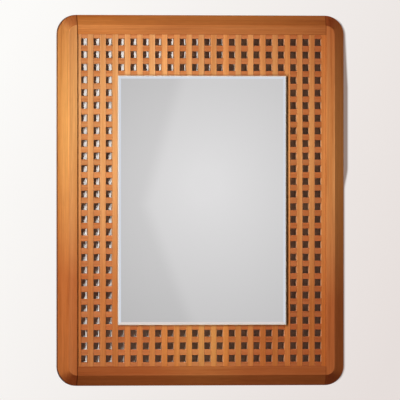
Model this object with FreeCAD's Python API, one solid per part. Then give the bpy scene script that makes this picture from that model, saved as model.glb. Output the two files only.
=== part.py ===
# Teak wall mirror: a bevelled glass on a half-lapped lattice, held in a grooved frame with rounded corners.
# Lengths are in millimetres. +X is to the right, +Y goes back into the wall and +Z is up.
# The origin lies on the wall plane, midway between the keyholes that take the two wall screws.
import FreeCAD, Part
import math
import os

# Lattice: continuous slats run up the front, and the cross slats are let into their backs.
SLAT_WIDTH = 18.0
SLAT_GAP = 20.0
LATTICE_THICKNESS = 16.0
HOLE_COLUMNS = 20
HOLE_ROWS = 26
SLAT_ARRIS = 0.8
LAP_CLEARANCE = 0.1

# Frame: four grooved members, with the front bevelled down towards the outer edge.
MEMBER_WIDTH = 58.0
FRAME_THICKNESS = 30.0
BEVEL_WIDTH = 31.0
BEVEL_DROP = 13.0
CREASE_RADIUS = 5.0
CORNER_RADIUS = 58.0
OUTER_ARRIS_RADIUS = 2.0
INNER_ARRIS = 0.8
LATTICE_SETBACK = 6.0
EDGE_SLAT_SHOWING = 13.0
GROOVE_PLAY = 1.0

# Corner joints: a tenon on each end of a rail, in a stopped mortise in the stile.
TENON_LENGTH = 28.0
TENON_THICKNESS = 9.0
TENON_HEIGHT = 26.0
TENON_INNER_SHOULDER = 10.0
MORTISE_END_PLAY = 1.0

# Glass and the board that it is bonded to.
COVERED_COLUMNS = 14
COVERED_ROWS = 20
SLAT_SHOWING_AT_GLASS = 15.0
GLASS_THICKNESS = 5.0
GLASS_BEVEL_WIDTH = 9.0
GLASS_BEVEL_DROP = 2.0
BOARD_THICKNESS = 4.0
BOARD_INSET = 12.0

# Screws through the lattice into the board, at crossings counted in slats from the middle one.
BOARD_SCREW_COLUMNS = (-6, 0, 6)
BOARD_SCREW_ROWS = (-9, -3, 3, 9)
BOARD_SCREW_RADIUS = 1.75
BOARD_SCREW_HEAD_RADIUS = 3.5
BOARD_SCREW_HEAD_HEIGHT = 2.2
BOARD_SCREW_BITE = 3.0
BOARD_SCREW_CLEARANCE = 0.2

# Keyhole plates, let in flush with the back of the top rail.
HANGER_SPACING = 600.0
PLATE_WIDTH = 18.0
PLATE_HEIGHT = 48.0
PLATE_THICKNESS = 2.0
PLATE_CLEARANCE = 0.2
KEYHOLE_HEAD_RADIUS = 4.75
KEYHOLE_SLOT_RADIUS = 2.3
KEYHOLE_TRAVEL = 14.0
HEAD_POCKET_RADIUS = 6.0
HEAD_POCKET_DEPTH = 5.0
PLATE_SCREW_SPACING = 36.0
PLATE_SCREW_RADIUS = 1.5
PLATE_SCREW_HEAD_RADIUS = 3.0
PLATE_SCREW_HEAD_HEIGHT = 1.6
PLATE_SCREW_LENGTH = 15.0

# Screw slots and the length by which a cutter runs past what it cuts.
DRIVE_SLOT_WIDTH = 0.8
DRIVE_SLOT_DEPTH = 0.8
OVERRUN = 2.0

# Sizes that follow from the ones above.
pitch = SLAT_WIDTH + SLAT_GAP
column_slats = HOLE_COLUMNS + 1
row_slats = HOLE_ROWS + 1
lattice_width = HOLE_COLUMNS * pitch + SLAT_WIDTH
lattice_height = HOLE_ROWS * pitch + SLAT_WIDTH
slat_hidden = SLAT_WIDTH - EDGE_SLAT_SHOWING
opening_width = lattice_width - 2 * slat_hidden
opening_height = lattice_height - 2 * slat_hidden
frame_width = opening_width + 2 * MEMBER_WIDTH
frame_height = opening_height + 2 * MEMBER_WIDTH
corner_radius = min(CORNER_RADIUS, MEMBER_WIDTH)
groove_depth = slat_hidden + GROOVE_PLAY
lattice_front = LATTICE_SETBACK - FRAME_THICKNESS
lattice_back = lattice_front + LATTICE_THICKNESS
lap_plane = (lattice_front + lattice_back) / 2
board_front = lattice_front - BOARD_THICKNESS
glass_front = board_front - GLASS_THICKNESS
glass_width = (COVERED_COLUMNS + 1) * pitch - SLAT_GAP - 2 * SLAT_SHOWING_AT_GLASS
glass_height = (COVERED_ROWS + 1) * pitch - SLAT_GAP - 2 * SLAT_SHOWING_AT_GLASS

# Heights: the plates sit at mid height of the top rail, and their head holes lie on z = 0.
plate_middle = KEYHOLE_TRAVEL / 2
frame_top = plate_middle + MEMBER_WIDTH / 2
frame_middle = frame_top - frame_height / 2
opening_top = frame_top - MEMBER_WIDTH


def at(x, y, z):
    """A point or a direction."""
    return FreeCAD.Vector(x, y, z)


def block(x_range, y_range, z_range):
    """A box between the two ends of each range."""
    lows = [min(pair) for pair in (x_range, y_range, z_range)]
    spans = [abs(pair[1] - pair[0]) for pair in (x_range, y_range, z_range)]
    return Part.makeBox(*spans, at(*lows))


def rod(radius, x, z, y_from, y_to):
    """A round rod along Y."""
    start = at(x, min(y_from, y_to), z)
    return Part.makeCylinder(radius, abs(y_to - y_from), start, at(0, 1, 0))


def flat_face(points):
    """A plane face with straight sides through the points."""
    return Part.Face(Part.makePolygon([*points, points[0]]))


def flip_sideways(shape):
    """The same shape on the other side of the mirror's upright middle line."""
    return shape.mirror(at(0, 0, 0), at(1, 0, 0))


def flip_upright(shape):
    """The same shape on the other side of the mirror's level middle line."""
    return shape.mirror(at(0, 0, frame_middle), at(0, 0, 1))


def column_place(index):
    """X of a column slat's middle, where index 0 is the leftmost."""
    return (index - HOLE_COLUMNS / 2) * pitch


def row_place(index):
    """Z of a cross slat's middle, where index 0 is the topmost."""
    return frame_middle + (HOLE_ROWS / 2 - index) * pitch


def rounded(corner, towards, away, radius):
    """The start, middle and end of the arc that rounds a corner between two unit directions that leave it."""
    half_angle = towards.getAngle(away) / 2
    setback = radius / math.tan(half_angle)
    inwards = towards + away
    inwards.normalize()
    middle = corner + inwards * (radius / math.sin(half_angle) - radius)
    return corner + towards * setback, middle, corner + away * setback


def edge_waste(edge):
    """The waste in front of the bevel and round the outer arris, in the XY plane, for an edge at x = edge."""
    crease = at(edge - BEVEL_WIDTH, -FRAME_THICKNESS, 0)
    arris = at(edge, BEVEL_DROP - FRAME_THICKNESS, 0)
    up_bevel = crease - arris
    up_bevel.normalize()
    crease_arc = rounded(crease, at(-1, 0, 0), -up_bevel, CREASE_RADIUS)
    arris_arc = rounded(arris, up_bevel, at(0, 1, 0), OUTER_ARRIS_RADIUS)
    beyond_front = -FRAME_THICKNESS - OVERRUN
    inner_front = at(crease_arc[0].x, beyond_front, 0)
    outer_front = at(edge + OVERRUN, beyond_front, 0)
    outer_back = at(edge + OVERRUN, arris_arc[2].y, 0)
    lines = [
        Part.LineSegment(inner_front, crease_arc[0]).toShape(),
        Part.Arc(*crease_arc).toShape(),
        Part.LineSegment(crease_arc[2], arris_arc[0]).toShape(),
        Part.Arc(*arris_arc).toShape(),
        Part.LineSegment(arris_arc[2], outer_back).toShape(),
        Part.LineSegment(outer_back, outer_front).toShape(),
        Part.LineSegment(outer_front, inner_front).toShape(),
    ]
    return Part.Face(Part.Wire(lines))


def side_waste():
    """Waste along the straight part of the right-hand edge."""
    length = frame_height - 2 * corner_radius
    face = edge_waste(frame_width / 2)
    face.translate(at(0, 0, frame_middle - length / 2))
    return face.extrude(at(0, 0, length))


def top_waste():
    """Waste along the straight part of the top edge."""
    length = frame_width - 2 * corner_radius
    face = edge_waste(0)
    face.rotate(at(0, 0, 0), at(0, 1, 0), -90)
    face.translate(at(-length / 2, 0, frame_top))
    return face.extrude(at(length, 0, 0))


def corner_waste():
    """Waste round the upper right corner, where the bevel is part of a cone."""
    centre = at(frame_width / 2 - corner_radius, 0, frame_top - corner_radius)
    face = edge_waste(corner_radius)
    face.translate(centre)
    return face.revolve(centre, at(0, -1, 0), 90)


def right_stile_blank():
    """A plank the height of the frame, with its two outer corners rounded."""
    inner = frame_width / 2 - MEMBER_WIDTH
    outer = frame_width / 2
    bottom = frame_top - frame_height
    round_x = outer - corner_radius
    diagonal = corner_radius * math.sqrt(0.5)
    upper_middle = at(round_x + diagonal, 0, frame_top - corner_radius + diagonal)
    lower_middle = at(round_x + diagonal, 0, bottom + corner_radius - diagonal)
    path = [
        Part.LineSegment(at(inner, 0, bottom), at(inner, 0, frame_top)).toShape(),
        Part.Arc(at(round_x, 0, frame_top), upper_middle, at(outer, 0, frame_top - corner_radius)).toShape(),
        Part.LineSegment(
            at(outer, 0, frame_top - corner_radius), at(outer, 0, bottom + corner_radius)
        ).toShape(),
        Part.Arc(at(outer, 0, bottom + corner_radius), lower_middle, at(round_x, 0, bottom)).toShape(),
    ]
    if round_x > inner:
        path.append(Part.LineSegment(at(inner, 0, frame_top), at(round_x, 0, frame_top)).toShape())
        path.append(Part.LineSegment(at(inner, 0, bottom), at(round_x, 0, bottom)).toShape())
    wire = Part.Wire(Part.__sortEdges__(path))
    return Part.Face(wire).extrude(at(0, -FRAME_THICKNESS, 0))


def tenon(end_play):
    """The tenon on the top rail's right end, or its mortise where there is end play."""
    root = opening_width / 2
    foot = opening_top + TENON_INNER_SHOULDER
    return block(
        (root - OVERRUN, root + TENON_LENGTH + end_play),
        (lattice_back, lattice_back - TENON_THICKNESS),
        (foot, foot + TENON_HEIGHT),
    )


def stile_right():
    """The right stile, with its mortises and the stopped groove for the lattice."""
    inner = opening_width / 2
    groove = block(
        (inner - OVERRUN, inner + groove_depth),
        (lattice_front, lattice_back),
        (opening_top + groove_depth, opening_top - opening_height - groove_depth),
    )
    arris = flat_face(
        [
            at(inner - OVERRUN, -FRAME_THICKNESS - OVERRUN, 0),
            at(inner + INNER_ARRIS + OVERRUN, -FRAME_THICKNESS - OVERRUN, 0),
            at(inner - OVERRUN, INNER_ARRIS + OVERRUN - FRAME_THICKNESS, 0),
        ]
    )
    arris.translate(at(0, 0, frame_middle - frame_height / 2 - OVERRUN))
    arris = arris.extrude(at(0, 0, frame_height + 2 * OVERRUN))
    mortise = tenon(MORTISE_END_PLAY)
    corner = corner_waste()
    top = top_waste()
    waste = [
        groove,
        arris,
        mortise,
        flip_upright(mortise),
        side_waste(),
        corner,
        flip_upright(corner),
        top,
        flip_upright(top),
    ]
    return right_stile_blank().cut(waste)


def plain_rail():
    """The top rail with its tenons and groove, before the keyhole plates are let in."""
    section = flat_face(
        [
            at(0, 0, opening_top),
            at(0, 0, frame_top),
            at(0, -FRAME_THICKNESS, frame_top),
            at(0, -FRAME_THICKNESS, opening_top + INNER_ARRIS),
            at(0, INNER_ARRIS - FRAME_THICKNESS, opening_top),
            at(0, lattice_front, opening_top),
            at(0, lattice_front, opening_top + groove_depth),
            at(0, lattice_back, opening_top + groove_depth),
            at(0, lattice_back, opening_top),
        ]
    )
    section.translate(at(-opening_width / 2, 0, 0))
    corner = corner_waste()
    body = section.extrude(at(opening_width, 0, 0)).cut([top_waste(), corner, flip_sideways(corner)])
    return body.fuse([tenon(0), flip_sideways(tenon(0))]).removeSplitter()


def pill(radius, x, z_low, z_high, y_from, y_to):
    """An upright bar with round ends, centred on x, whose end arcs have their centres at the two heights."""
    shape = block((x - radius, x + radius), (y_from, y_to), (z_low, z_high))
    ends = [rod(radius, x, z_low, y_from, y_to), rod(radius, x, z_high, y_from, y_to)]
    return shape.fuse(ends).removeSplitter()


def plate_outline(x, clearance, y_from, y_to):
    """The room that a keyhole plate takes, grown by the clearance."""
    radius = PLATE_WIDTH / 2 + clearance
    reach = (PLATE_HEIGHT - PLATE_WIDTH) / 2
    return pill(radius, x, plate_middle - reach, plate_middle + reach, y_from, y_to)


def plate_screw_places(x):
    """X and Z of a plate's two screws."""
    return [(x, plate_middle + side * PLATE_SCREW_SPACING / 2) for side in (-1, 1)]


def countersunk_screw(x, z, face, radius, head_radius, head_height, length):
    """A slotted screw with its head flush with the face at y = face and a pointed shank that goes forward."""
    neck = face - head_height
    tip = face - length
    taper = radius
    head = Part.makeCone(head_radius, radius, head_height, at(x, face, z), at(0, -1, 0))
    shank = rod(radius, x, z, neck, tip + taper)
    point = Part.makeCone(radius, 0, taper, at(x, tip + taper, z), at(0, -1, 0))
    slot = block(
        (x - head_radius, x + head_radius),
        (face - DRIVE_SLOT_DEPTH, face + OVERRUN),
        (z - DRIVE_SLOT_WIDTH / 2, z + DRIVE_SLOT_WIDTH / 2),
    )
    return head.fuse([shank, point]).removeSplitter().cut(slot)


def countersunk_hole(x, z, face, radius, head_radius, head_height, end):
    """The hole for such a screw, from the face to y = end."""
    head = Part.makeCone(head_radius, radius, head_height, at(x, face, z), at(0, -1, 0))
    return head.fuse(rod(radius, x, z, face, end))


def plate_screw(x, z):
    """One screw of a keyhole plate."""
    return countersunk_screw(
        x, z, 0, PLATE_SCREW_RADIUS, PLATE_SCREW_HEAD_RADIUS, PLATE_SCREW_HEAD_HEIGHT, PLATE_SCREW_LENGTH
    )


def plate_screw_hole(x, z):
    """The hole that a plate's screw cuts in the plate and the rail."""
    head = (PLATE_SCREW_RADIUS, PLATE_SCREW_HEAD_RADIUS, PLATE_SCREW_HEAD_HEIGHT)
    return countersunk_hole(x, z, 0, *head, -PLATE_SCREW_LENGTH)


def hanger_plate(x):
    """A keyhole plate: the head hole is below and the slot rises from it."""
    plate = plate_outline(x, 0, 0, -PLATE_THICKNESS)
    through = (OVERRUN, -PLATE_THICKNESS - OVERRUN)
    waste = [
        rod(KEYHOLE_HEAD_RADIUS, x, 0, *through),
        pill(KEYHOLE_SLOT_RADIUS, x, 0, KEYHOLE_TRAVEL, *through),
    ]
    waste += [plate_screw_hole(*place) for place in plate_screw_places(x)]
    return plate.cut(waste)


def rail_top():
    """The top rail, with a seat for each keyhole plate and a pocket behind it for the wall screw's head."""
    waste = []
    for x in hanger_places():
        waste.append(plate_outline(x, PLATE_CLEARANCE, OVERRUN, -PLATE_THICKNESS))
        pocket_floor = -PLATE_THICKNESS - HEAD_POCKET_DEPTH
        waste.append(pill(HEAD_POCKET_RADIUS, x, 0, KEYHOLE_TRAVEL, OVERRUN, pocket_floor))
        waste += [plate_screw_hole(*place) for place in plate_screw_places(x)]
    return plain_rail().cut(waste)


def hanger_places():
    """X of the two keyhole plates, left then right."""
    return [-HANGER_SPACING / 2, HANGER_SPACING / 2]


def slat_section(width, thickness):
    """A slat's section about its own middle, as pairs of width and depth, with every long arris broken."""
    a = width / 2
    b = thickness / 2
    c = SLAT_ARRIS
    return [
        (a - c, -b),
        (a, c - b),
        (a, b - c),
        (a - c, b),
        (c - a, b),
        (-a, b - c),
        (-a, c - b),
        (c - a, -b),
    ]


def board_screw_columns():
    """Indices of the column slats that the board's screws pass through."""
    return [HOLE_COLUMNS // 2 + step for step in BOARD_SCREW_COLUMNS]


def board_screw_rows():
    """Indices of the cross slats that the board's screws pass through."""
    return [HOLE_ROWS // 2 + step for step in BOARD_SCREW_ROWS]


def board_screw_hole(column, row, clearance):
    """The hole for one of the board's screws, from the lattice's back."""
    x = column_place(column)
    z = row_place(row)
    radius = BOARD_SCREW_RADIUS + clearance
    head = BOARD_SCREW_HEAD_RADIUS + clearance
    end = lattice_front - BOARD_SCREW_BITE
    return countersunk_hole(x, z, lattice_back, radius, head, BOARD_SCREW_HEAD_HEIGHT, end)


def column_slat(index):
    """An upright slat, notched at the back for every cross slat."""
    x = column_place(index)
    bottom = frame_middle - lattice_height / 2
    section = slat_section(SLAT_WIDTH, LATTICE_THICKNESS)
    face = flat_face([at(x + w, lap_plane + d, bottom) for w, d in section])
    bar = face.extrude(at(0, 0, lattice_height))
    half = SLAT_WIDTH / 2
    reach = half + LAP_CLEARANCE
    x_range = (x - half - OVERRUN, x + half + OVERRUN)
    y_range = (lap_plane, lattice_back + OVERRUN)
    waste = []
    for row in range(row_slats):
        z = row_place(row)
        waste.append(block(x_range, y_range, (z - reach, z + reach)))
    if index in board_screw_columns():
        waste += [board_screw_hole(index, row, BOARD_SCREW_CLEARANCE) for row in board_screw_rows()]
    return bar.cut(waste)


def cross_slat(index):
    """A level slat, notched at the front for every upright slat."""
    z = row_place(index)
    left = -lattice_width / 2
    section = slat_section(SLAT_WIDTH, LATTICE_THICKNESS)
    face = flat_face([at(left, lap_plane + d, z + w) for w, d in section])
    bar = face.extrude(at(lattice_width, 0, 0))
    half = SLAT_WIDTH / 2
    reach = half + LAP_CLEARANCE
    y_range = (lattice_front - OVERRUN, lap_plane)
    z_range = (z - half - OVERRUN, z + half + OVERRUN)
    waste = []
    for column in range(column_slats):
        x = column_place(column)
        waste.append(block((x - reach, x + reach), y_range, z_range))
    if index in board_screw_rows():
        columns = board_screw_columns()
        waste += [board_screw_hole(column, index, BOARD_SCREW_CLEARANCE) for column in columns]
    return bar.cut(waste)


def mirror_glass():
    """The silvered glass, with a narrow bevel ground along its four front edges."""
    half_width = glass_width / 2
    half_height = glass_height / 2
    plate = block(
        (-half_width, half_width),
        (board_front, glass_front),
        (frame_middle - half_height, frame_middle + half_height),
    )
    rise = OVERRUN * GLASS_BEVEL_DROP / GLASS_BEVEL_WIDTH
    inner = -GLASS_BEVEL_WIDTH - OVERRUN
    waste = []
    triangle = [(inner, glass_front - rise), (OVERRUN, glass_front - rise)]
    triangle.append((OVERRUN, glass_front + GLASS_BEVEL_DROP + rise))
    length = glass_height + 2 * OVERRUN
    face = flat_face([at(half_width + w, d, frame_middle - length / 2) for w, d in triangle])
    side = face.extrude(at(0, 0, length))
    length = glass_width + 2 * OVERRUN
    face = flat_face([at(-length / 2, d, frame_middle + half_height + w) for w, d in triangle])
    top = face.extrude(at(length, 0, 0))
    waste += [side, flip_sideways(side), top, flip_upright(top)]
    return plate.cut(waste)


def backing_board():
    """The plywood board between the glass and the lattice."""
    half_width = glass_width / 2 - BOARD_INSET
    half_height = glass_height / 2 - BOARD_INSET
    board = block(
        (-half_width, half_width),
        (lattice_front, board_front),
        (frame_middle - half_height, frame_middle + half_height),
    )
    waste = [board_screw_hole(c, r, 0) for c in board_screw_columns() for r in board_screw_rows()]
    return board.cut(waste)


def board_screws():
    """The screws that hold the board, as a group of separate solids."""
    length = LATTICE_THICKNESS + BOARD_SCREW_BITE
    head = (BOARD_SCREW_RADIUS, BOARD_SCREW_HEAD_RADIUS, BOARD_SCREW_HEAD_HEIGHT)
    screws = []
    for column in board_screw_columns():
        for row in board_screw_rows():
            place = (column_place(column), row_place(row))
            screws.append(countersunk_screw(*place, lattice_back, *head, length))
    return Part.makeCompound(screws)


def hanger_screws():
    """The screws that hold the keyhole plates, as a group of separate solids."""
    places = [place for x in hanger_places() for place in plate_screw_places(x)]
    return Part.makeCompound([plate_screw(*place) for place in places])


def all_parts():
    """Every sub-part's name and shape."""
    right = stile_right()
    plain = plain_rail()
    left_plate, right_plate = [hanger_plate(x) for x in hanger_places()]
    parts = {
        "stile_left": flip_sideways(right),
        "stile_right": right,
        "rail_top": rail_top(),
        "rail_bottom": flip_upright(plain),
        "mirror_glass": mirror_glass(),
        "backing_board": backing_board(),
        "board_screws": board_screws(),
        "hanger_plate_left": left_plate,
        "hanger_plate_right": right_plate,
        "hanger_screws": hanger_screws(),
    }
    for index in range(column_slats):
        parts[f"slat_vertical_{index + 1:02d}"] = column_slat(index)
    for index in range(row_slats):
        parts[f"slat_horizontal_{index + 1:02d}"] = cross_slat(index)
    return parts


os.makedirs("parts", exist_ok=True)
for name, shape in all_parts().items():
    if not shape.isValid():
        raise ValueError(f"{name} is not a valid shape")
    shape.exportStep(f"parts/{name}.step")
print(f"frame {frame_width:.1f} x {frame_height:.1f}, glass {glass_width:.1f} x {glass_height:.1f}")
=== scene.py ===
# Looks of the teak wall mirror: finishes for the frame, the lattice, the glass, the board and the fixings,
# and the stage that they are shown on. Lengths are in metres. +X is to the right, +Y goes into the wall, and
# +Z is up.
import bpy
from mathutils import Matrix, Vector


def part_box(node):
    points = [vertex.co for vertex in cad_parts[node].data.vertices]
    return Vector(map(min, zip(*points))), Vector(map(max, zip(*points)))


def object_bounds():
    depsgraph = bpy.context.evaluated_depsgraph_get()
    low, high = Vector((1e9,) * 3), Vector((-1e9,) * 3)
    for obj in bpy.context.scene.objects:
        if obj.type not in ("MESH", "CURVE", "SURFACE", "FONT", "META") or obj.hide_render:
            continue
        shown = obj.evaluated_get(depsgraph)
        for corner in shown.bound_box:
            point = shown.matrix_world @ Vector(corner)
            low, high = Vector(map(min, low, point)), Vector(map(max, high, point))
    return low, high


bl_info = {
    "name": "Teak Lattice Wall Mirror",
    "version": (1, 0, 0),
    "blender": (4, 5, 0),
    "location": "View3D > Sidebar > Mirror",
    "description": "Finishes a teak wall mirror with a half-lapped lattice and sets up its stage",
    "category": "Object",
}

import math

import bpy
from bpy.props import FloatProperty, FloatVectorProperty, PointerProperty
from mathutils import Vector

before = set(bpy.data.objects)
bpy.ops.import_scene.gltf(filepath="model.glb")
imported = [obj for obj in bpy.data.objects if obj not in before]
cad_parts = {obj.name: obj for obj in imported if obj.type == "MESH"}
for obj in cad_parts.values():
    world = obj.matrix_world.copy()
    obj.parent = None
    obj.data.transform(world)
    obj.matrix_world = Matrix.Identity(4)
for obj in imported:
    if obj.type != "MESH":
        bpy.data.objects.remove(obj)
cad_low, cad_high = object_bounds()

MM = 0.001
X, Y, Z = 0, 1, 2

# The picture's frame and the mirror's place in it, in pixels.
PICTURE_WIDTH = 400
PICTURE_HEIGHT = 400
MIRROR_MIDDLE = 199.7
MIRROR_TOP = 15.3
MIRROR_BOTTOM = 385.4

# Places and sizes of the pieces that the finishes follow.
glass_low, glass_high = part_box("mirror_glass")
board_low, board_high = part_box("backing_board")
mirror_middle = (cad_low + cad_high) / 2
half_width = (cad_high.x - cad_low.x) / 2
half_height = (cad_high.z - cad_low.z) / 2
opening_half_width = abs(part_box("stile_left")[1].x)
opening_half_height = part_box("rail_top")[0].z - mirror_middle.z
corner_radius = half_width - opening_half_width
slat_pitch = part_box("slat_vertical_02")[0].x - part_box("slat_vertical_01")[0].x
glass_middle = (glass_low + glass_high) / 2
glass_half = (glass_high - glass_low) / 2
board_half = (board_high - board_low) / 2

# Settings that many nodes share: a mix of colours, a mix that multiplies them, and an eased range.
MIX = {"data_type": "RGBA"}
MULTIPLY = {"data_type": "RGBA", "blend_type": "MULTIPLY"}
EASED = {"interpolation_type": "SMOOTHSTEP"}

# A range that falls from all to nothing.
FALLING = {"To Min": 1.0, "To Max": 0.0}

# Sockets of a mix: its share, its two colours and the result.
SHARE, FIRST, SECOND, MIXED = 0, 6, 7, 2


def linear(hex_colour):
    """A linear colour with alpha, from an sRGB hex value."""
    shares = [int(hex_colour[start : start + 2], 16) / 255 for start in (1, 3, 5)]
    return tuple(s / 12.92 if s <= 0.04045 else ((s + 0.055) / 1.055) ** 2.4 for s in shares) + (1.0,)


def colour_property(name, description, hex_colour):
    """A colour that a user can change."""
    return FloatVectorProperty(
        name=name,
        description=description,
        default=linear(hex_colour),
        size=4,
        min=0.0,
        max=1.0,
        subtype="COLOR",
    )


def length_property(name, description, default):
    """A length that a user can change."""
    return FloatProperty(name=name, description=description, default=default, min=0.0, unit="LENGTH")


class TeakFinish(bpy.types.PropertyGroup):
    """Colour and grain of the oiled teak"""

    # The pale and deep colours are painted light and shade: pale within the painted pools of light, deep away
    # from them.
    stile_pale: colour_property("Pale stile", "Stiles where the sun has faded them", "#E5A868")
    stile_deep: colour_property("Deep stile", "Stiles where the sun never reached", "#BB6F3E")
    rail_pale: colour_property("Pale rail", "Rails where the sun has faded them", "#F5A45B")
    rail_deep: colour_property("Deep rail", "Rails where the sun never reached", "#A35B30")
    upright_pale: colour_property("Pale upright slat", "Upright slats, faded by the sun", "#E4AC74")
    upright_deep: colour_property("Deep upright slat", "Upright slats, out of the sun", "#C47D47")
    cross_pale: colour_property("Pale cross slat", "Cross slats, faded by the sun", "#D4905B")
    cross_deep: colour_property("Deep cross slat", "Cross slats, out of the sun", "#C17749")
    # The stile, rail, upright and cross slat tints paint shade on the right, away from the lamps.
    stile_tint: colour_property("Stile tint", "Multiplies the stiles' colour on the right", "#F7ECE7")
    bevel_tint: colour_property("Bevel tint", "Multiplies the frame's colour on its bevels", "#FCF8E8")
    rail_tint: colour_property("Rail tint", "Multiplies the rails' colour on the right", "#B8A9B4")
    upright_tint: colour_property("Upright tint", "Multiplies the upright slats' colour there", "#F5E4D0")
    cross_tint: colour_property("Cross slat tint", "Multiplies the cross slats' colour there", "#E0C9BE")
    # Painted shade on the walls of the lattice's holes.
    hole_wall_shade: colour_property("Hole dust", "Dust on the walls of the lattice's holes", "#85776A")
    streak_width: length_property("Streak width", "Growth streaks, across the grain", 6 * MM)
    streak_length: length_property("Streak length", "Growth streaks, along the grain", 300 * MM)
    figure_width: length_property("Figure width", "Broad light and dark bands, across the grain", 17 * MM)
    figure_length: length_property("Figure length", "Broad bands, along the grain", 700 * MM)
    fibre_width: length_property("Fibre width", "Fibres and open pores, across the grain", 1.3 * MM)
    fibre_length: length_property("Fibre length", "Fibres and open pores, along the grain", 34 * MM)
    joint_line: length_property("Joint line", "Dark line where a rail meets a stile", 3.6 * MM)
    # A painted shadow where the lattice meets the left stile.
    stile_shadow_line: length_property("Dust line", "Dark line where the lattice meets the left stile", 3.4 * MM)


class GlassFinish(bpy.types.PropertyGroup):
    """Silvering and ground edge of the glass"""

    silver: colour_property("Silver", "What the silvering gives back", "#F9F8F9")
    ground: colour_property("Ground edge", "The fine ground edge all round", "#D9C8B6")
    # The edge is the glass's own green, made darker to paint shade along the glass's sides.
    edge: colour_property("Edge", "The glass seen through its side", "#55635A")
    paint: colour_property("Backing paint", "The paint that guards the silvering", "#8C9296")
    ground_width: length_property("Ground edge width", "Width of the ground edge on the front", 2.8 * MM)


class FixingFinish(bpy.types.PropertyGroup):
    """Board, keyhole plates and screws"""

    ply_face: colour_property("Ply face", "Birch veneer on the board's faces", "#D2B48A")
    ply_core: colour_property("Ply core", "The darker core ply, seen at the board's edge", "#A5805A")
    ply_width: length_property("Ply figure width", "Figure of the veneer, across the grain", 9 * MM)
    ply_length: length_property("Ply figure length", "Figure of the veneer, along the grain", 160 * MM)
    brass: colour_property("Brass", "Satin brass", "#D3AC62")
    tarnish: colour_property("Tarnish", "Brass that has dulled", "#8E6C38")
    tarnish_size: length_property("Tarnish size", "Size of the dull patches", 7 * MM)


class StageSettings(bpy.types.PropertyGroup):
    """Wall, floor, lamps and camera"""

    wall: colour_property("Wall", "Paint of the wall", "#FDFAF6")
    floor: colour_property("Floor", "Paint of the floor", "#E8E6E3")
    backdrop_pale: colour_property("Pale backdrop", "What the camera sees at the upper left", "#FCFBF9")
    backdrop_deep: colour_property("Deep backdrop", "What the camera sees at the lower right", "#E6DEDB")
    cast_shadow: colour_property("Cast shadow", "The mirror's shadow beside its right edge", "#94827A")
    floor_drop: length_property("Floor drop", "Height of the mirror above the floor", 0.9)
    camera_distance: length_property("Camera distance", "From the camera to the mirror", 40.0)
    camera_turn: FloatProperty(
        name="Camera turn",
        description="How far the camera stands to the left of the mirror's middle",
        default=math.radians(13.75),
        unit="ROTATION",
    )
    key_power: FloatProperty(
        name="Key power",
        description="Power of the upper one of the two lamps at the front left",
        default=49.5,
        min=0.0,
        unit="POWER",
    )
    back_power: FloatProperty(
        name="Back power",
        description="Power of the lamp behind the wall, which lights the back and the right edge",
        default=330.0,
        min=0.0,
        unit="POWER",
    )


def add_node(tree, kind, settings=None, inputs=None, output=0):
    """Adds a node with its settings, values and links. Gives back one output, or all of them for None."""
    made = tree.nodes.new(kind)
    for key, value in (settings or {}).items():
        setattr(made, key, value)
    for key, value in (inputs or {}).items():
        if isinstance(value, bpy.types.NodeSocket):
            tree.links.new(value, made.inputs[key])
        else:
            made.inputs[key].default_value = value
    if output is None or not made.outputs:
        return made.outputs
    return made.outputs[output]


def new_material(name):
    """An empty material and its node tree."""
    material = bpy.data.materials.new(name)
    material.use_nodes = True
    material.node_tree.nodes.clear()
    return material, material.node_tree


def finish_pieces(material, names):
    """Puts the material in every slot of the named pieces."""
    for name in names:
        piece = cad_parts[name]
        if not piece.material_slots:
            piece.data.materials.append(material)
        for slot in piece.material_slots:
            slot.material = material


def names_from(start):
    """Names of the pieces that begin with these letters."""
    return [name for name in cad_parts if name.startswith(start)]


def grain_scale(along, width, length):
    """Scale that draws a pattern this wide across the grain and this long along it."""
    scale = [1 / width] * 3
    scale[along] = 1 / length
    return scale


# A painted pool of light makes the teak paler and yellower round the middle of the mirror's upper part, and
# deeper away from it. Up and down, it ends sooner than across, and it lies lower on the right.
PAINTED_LIGHT_PLACE = (-0.07, 0.0, -0.32)
PAINTED_LIGHT_TURN = (0.0, 0.2, 0.0)
PAINTED_LIGHT_SHAPE = (1.0, 1.0, 0.54)
PAINTED_LIGHT_REACH = {"From Min": 0.34, "From Max": 0.94}

# A second painted pool of light lies below the glass. Its colour is multiplied by more than 1.
LOW_LIGHT_POOL_PLACE = (0.0, 0.0, -0.94)
LOW_LIGHT_POOL_REACH = {"From Max": 0.2, **FALLING}
LOW_LIGHT_POOL_GAIN = (1.25, 1.6, 1.6, 1.0)

# On the right, away from the lamps, painted shade makes the teak darker and redder. On the rails the change
# is quicker.
RIGHT_SHADE_REACH = {"From Min": -0.35, "From Max": 0.42}
RAIL_RIGHT_SHADE_REACH = {"From Min": -0.37, "From Max": -0.1}

# Boards are numbered from their place, and a board's number picks its own grain. The offset keeps every
# number above zero.
NUMBER_OFFSET = 60
GRAIN_STEP = 3.7

# Grain: growth streaks, broad figure, and fibres. The real pores are about 0.3 mm wide, too fine to show, so
# the fibres are drawn four times as coarse.
STREAK_NOISE = {"Scale": 1.0, "Detail": 3.0, "Roughness": 0.6, "Distortion": 0.4}
FIGURE_NOISE = {"Scale": 1.0, "Detail": 2.0, "Roughness": 0.5}
FIBRE_NOISE = {"Scale": 1.0, "Detail": 2.0, "Roughness": 0.6}

# What the teak's colour is multiplied by in the streaks and bands, in the warmest boards, on end grain, in
# the painted shade on undersides and on the frame's sides, in the painted shadow beside the left stile and in
# the joint lines.
STREAK_TINT = linear("#D4BFAD")
FIGURE_TINT = linear("#F1E1CE")
WARM_TINT = linear("#FFEFDF")
END_TINT = linear("#CEB1A2")
UNDERSIDE_SHADE_TINT = linear("#D6D4D4")
FRAME_SIDE_SHADE_TINT = linear("#ADA299")
STILE_SHADOW_TINT = linear("#7C6959")
JOINT_TINT = linear("#957C65")

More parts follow.
